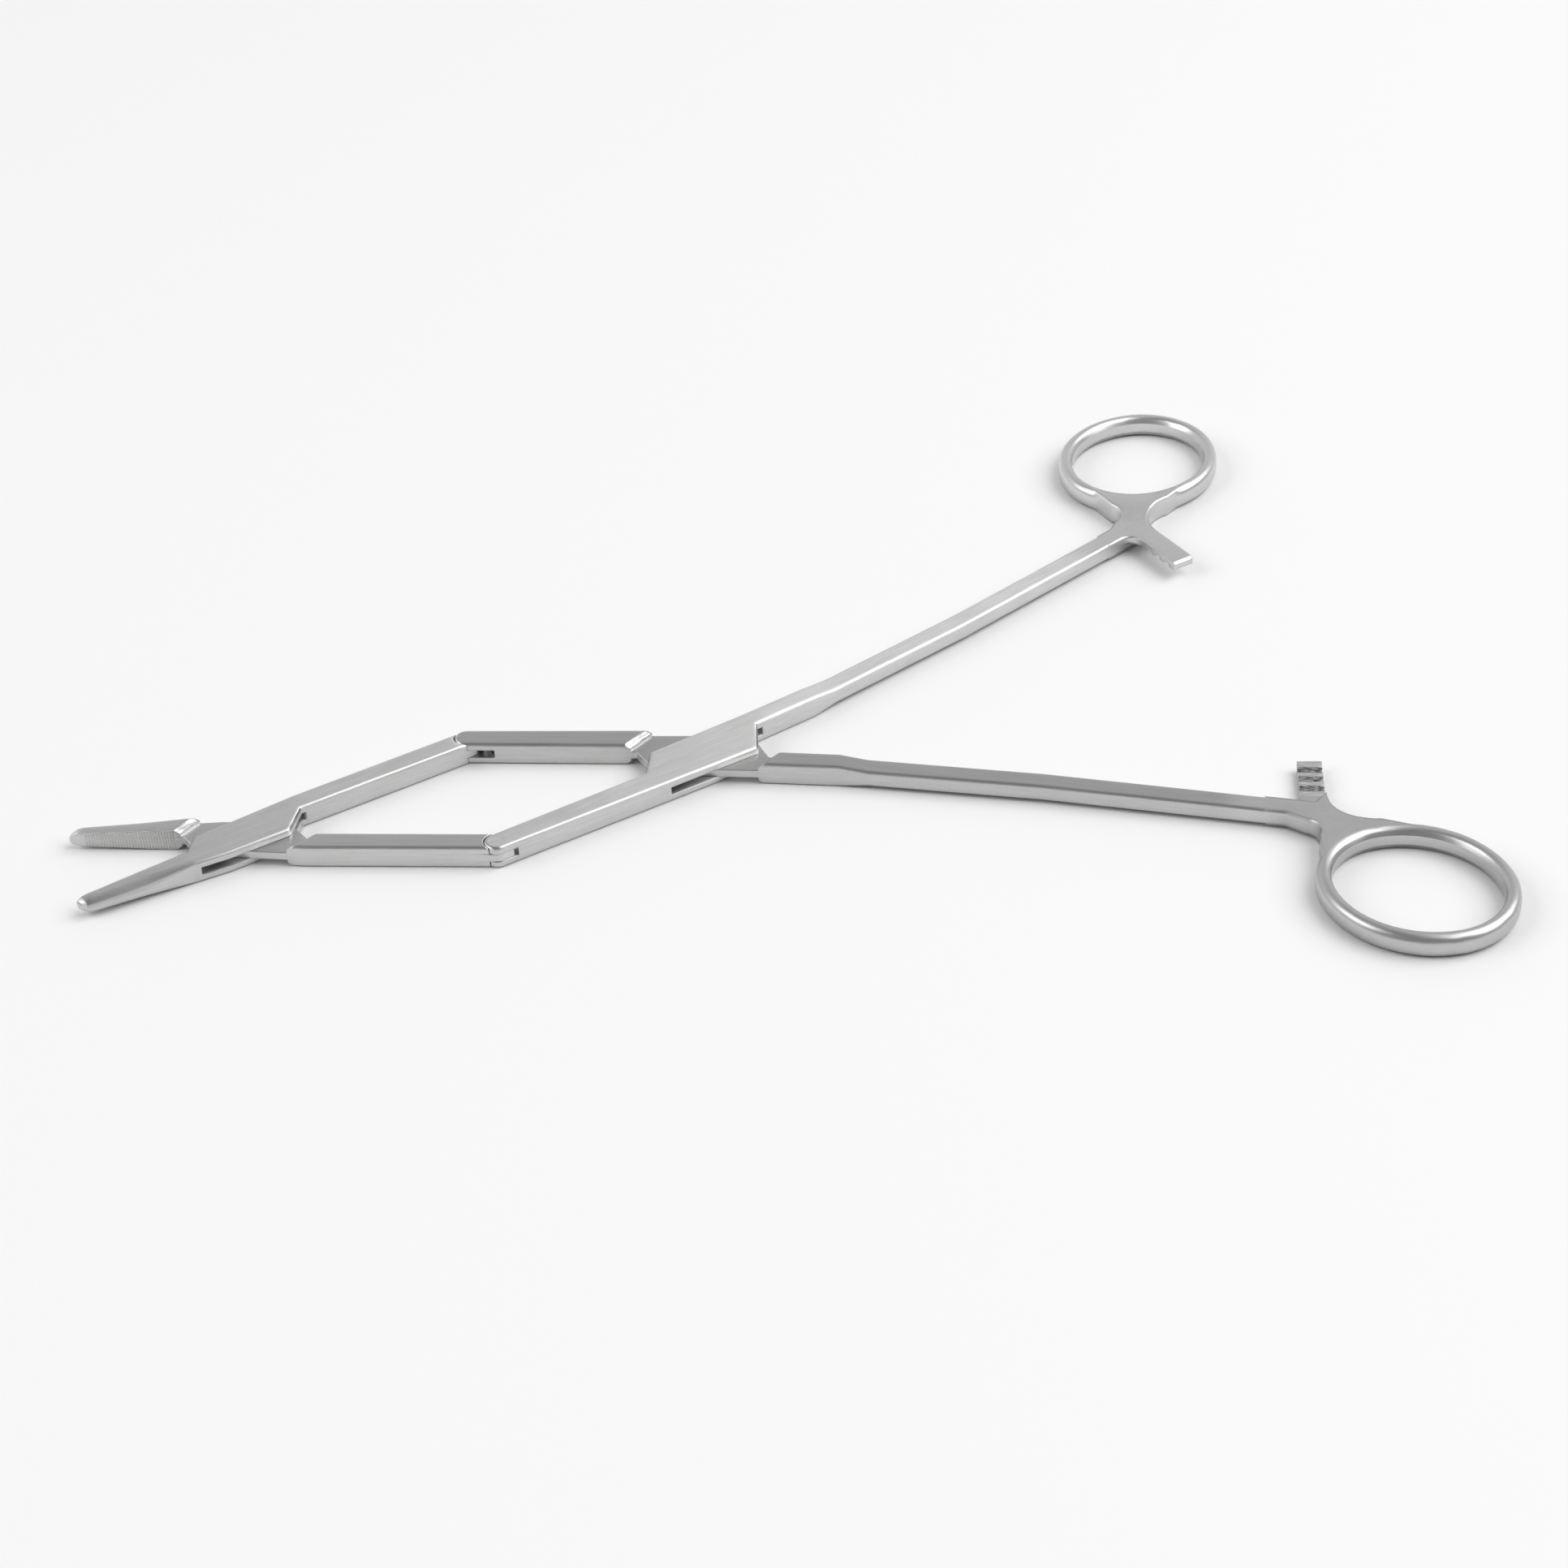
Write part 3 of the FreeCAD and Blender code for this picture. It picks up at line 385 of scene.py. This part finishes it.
    def grain(self, place):
        """Shade, roughness and height of the brushed steel, with fainter streaks in the web."""
        fine = self.noise(place, *FINE_GRAIN)
        streak = self.noise(place, *STREAKS)
        cloud = self.noise(self.plan, *CLOUDS)
        grit = self.noise(self.plan, *GRIT)
        if self.handle:
            streak = self.mix(self.times(self.ramp(self.x, *WEB_ALONG), WEB_CALM), streak, NOISE_MIDDLE)
        shade = self.total(self.shade, (fine, FINE_SHADE), (streak, STREAK_SHADE), (cloud, CLOUD_SHADE),
                           (grit, GRIT_SHADE))
        rough = self.total(ROUGHNESS, (fine, FINE_ROUGHNESS), (cloud, CLOUD_ROUGHNESS))
        height = self.total(0.0, (fine, FINE_HEIGHT), (grit, GRIT_HEIGHT))
        return shade, rough, height

    def work_handle(self, shade, height):
        """Shade and height with painted shade on the near web, a painted highlight and painted shade on the
        ratchet, and the crease inside the ring.
        """
        # Painted shade that darkens the near handle's web
        if self.side < 0:
            shade = self.tint(shade, self.ramp(self.x, *WEB_ALONG), NEAR_WEB_PAINTED_SHADE)
        torn = self.noise(self.plan, *TORN_STEEL)
        notches, crests = self.ratchet()
        # Painted highlight on the ratchet's crests and painted shade in its notches, both broken up by the
        # torn steel
        shade = self.tint(shade, crests, self.ramp(torn, *CREST_PAINTED_HIGHLIGHT))
        shade = self.tint(shade, notches, self.ramp(torn, *NOTCH_PAINTED_SHADE))
        height = self.mix(notches, height, self.times(torn, TORN_HEIGHT))
        return shade, self.maths("ADD", height, self.times(self.crease(), self.inner_wall()))

    def work_jaw(self, shade, height):
        """Shade and height with the cross-cut bite face and painted shade in its grooves."""
        bite = self.bite()
        groove = self.ramp(self.maths("ABSOLUTE", self.y), *GROOVE_ACROSS)
        # Painted shade in the grooves of the bite face
        shade = self.tint(shade, self.times(bite, groove), GROOVE_PAINTED_SHADE)
        return shade, self.mix(bite, height, self.cross_cut())

    def make(self):
        """Join the grain, the worked places with their painted shade, highlight and reflection, the painted
        shade in recesses, and the rounded edges to the shader.
        """
        direction, place = self.brush()
        shade, rough, height = self.grain(place)
        anisotropy = ANISOTROPY
        if self.handle:
            shade, height = self.work_handle(shade, height)
            anisotropy = self.ramp(self.x, *STRETCH_END, ANISOTROPY, 0.0)
        else:
            shade, height = self.work_jaw(shade, height)
        # Shoulders: polished with a lower roughness, and darkened in lines, a painted reflection that also
        # tones down the soft box's highlight there
        polish_and_painted_reflection = self.shoulder()
        shade = self.tint(shade, polish_and_painted_reflection, self.ramp(self.noise(self.plan, *PAINTED_REFLECTION_LINES), *SHOULDER_PAINTED_REFLECTION))
        rough = self.mix(polish_and_painted_reflection, rough, SHOULDER_ROUGHNESS)
        # Painted shade: darker in slots, recesses and near the table, from ambient occlusion
        painted_shade_occlusion = self.add("ShaderNodeAmbientOcclusion", {"Distance": RECESS_REACH * MM}, samples=8)
        shade = self.times(shade, self.ramp(painted_shade_occlusion.outputs["AO"], *RECESS_PAINTED_SHADE))
        bump = self.add("ShaderNodeBump", {
            "Height": height, "Strength": 1.0, "Distance": BUMP_DISTANCE * MM,
        })
        if not self.pin:
            self.join(self.rounding(), bump.inputs["Normal"])
        shader = self.tree.nodes["Principled BSDF"]
        looks = {
            "Base Color": self.merge(shade, shade, self.times(shade, BLUE_SHARE)),
            "Metallic": 1.0,
            "Roughness": rough,
            "Anisotropic": anisotropy,
            "Anisotropic Rotation": QUARTER_TURN,
            "Tangent": self.tangent(direction),
            "Normal": bump.outputs[0],
        }
        for name, value in looks.items():
            self.join(value, shader.inputs[name])
        return self.material


def dress(node, material, sharpest):
    """Put the material on a CAD node, and shade it smooth between its real edges."""
    thing = frame["nodes"][node]
    mesh = thing.data
    mesh.materials.clear()
    mesh.materials.append(material)
    mesh.polygons.foreach_set("use_smooth", [True] * len(mesh.polygons))
    mesh.edges.foreach_set("use_edge_sharp", [False] * len(mesh.edges))
    weld = thing.modifiers.new("weld", "WELD")
    weld.merge_threshold = WELD_DISTANCE * MM
    split = thing.modifiers.new("edges", "EDGE_SPLIT")
    split.split_angle = sharpest
    thing.modifiers.new("faces", "WEIGHTED_NORMAL")


def add_floor():
    """Sheet of white paper under the object."""
    corners = [(x * FLOOR_REACH, y * FLOOR_REACH, 0) for x, y in ((-1, -1), (1, -1), (1, 1), (-1, 1))]
    mesh = bpy.data.meshes.new("floor")
    mesh.from_pydata(corners, [], [(0, 1, 2, 3)])
    floor = bpy.data.objects.new("floor", mesh)
    bpy.context.collection.objects.link(floor)
    material = bpy.data.materials.new("paper")
    material.use_nodes = True
    mesh.materials.append(material)
    nodes = Nodes(material.node_tree)
    shader = nodes.tree.nodes["Principled BSDF"]
    nodes.join(PAPER, shader.inputs["Base Color"])
    nodes.join(PAPER_ROUGHNESS, shader.inputs["Roughness"])
    nodes.join(PAPER_SHINE, shader.inputs["Specular IOR Level"])


def soft_box(name, place, size, radiance):
    """Rectangular studio light that faces the origin."""
    data = bpy.data.lights.new(name, "AREA")
    data.shape = "RECTANGLE"
    data.size, data.size_y = size
    data.energy = radiance * math.pi * size[0] * size[1]
    light = bpy.data.objects.new(name, data)
    light.location = place
    light.rotation_mode = "QUATERNION"
    light.rotation_quaternion = (-Vector(place)).to_track_quat("-Z", "Y")
    bpy.context.collection.objects.link(light)


def add_light():
    """Grey room, lighter on the far side and darker overhead, with a strong soft box on the right and a
    weaker one on the left."""
    world = bpy.data.worlds.new("room")
    world.use_nodes = True
    nodes = Nodes(world.node_tree)
    way = nodes.split(nodes.add("ShaderNodeTexCoord").outputs["Generated"])
    sky = nodes.times(nodes.ramp(way[1], *SKY_ACROSS), nodes.ramp(way[2], *SKY_ABOVE))
    background = nodes.tree.nodes["Background"]
    nodes.join((1, 1, 1, 1), background.inputs["Color"])
    nodes.join(sky, background.inputs["Strength"])
    bpy.context.scene.world = world
    soft_box("right_box", *RIGHT_BOX)
    soft_box("left_box", *LEFT_BOX)


add_camera()
add_floor()
add_light()
bpy.context.scene.view_settings.view_transform = "Standard"

for lever, side, pivot, handle, shade, pins in LEVERS:
    for node in (lever, *pins):
        steel = Steel(node + "_steel", side, pivot, handle, shade, node in pins)
        dress(node, steel.make(), HANDLE_EDGE if handle else JAW_EDGE)
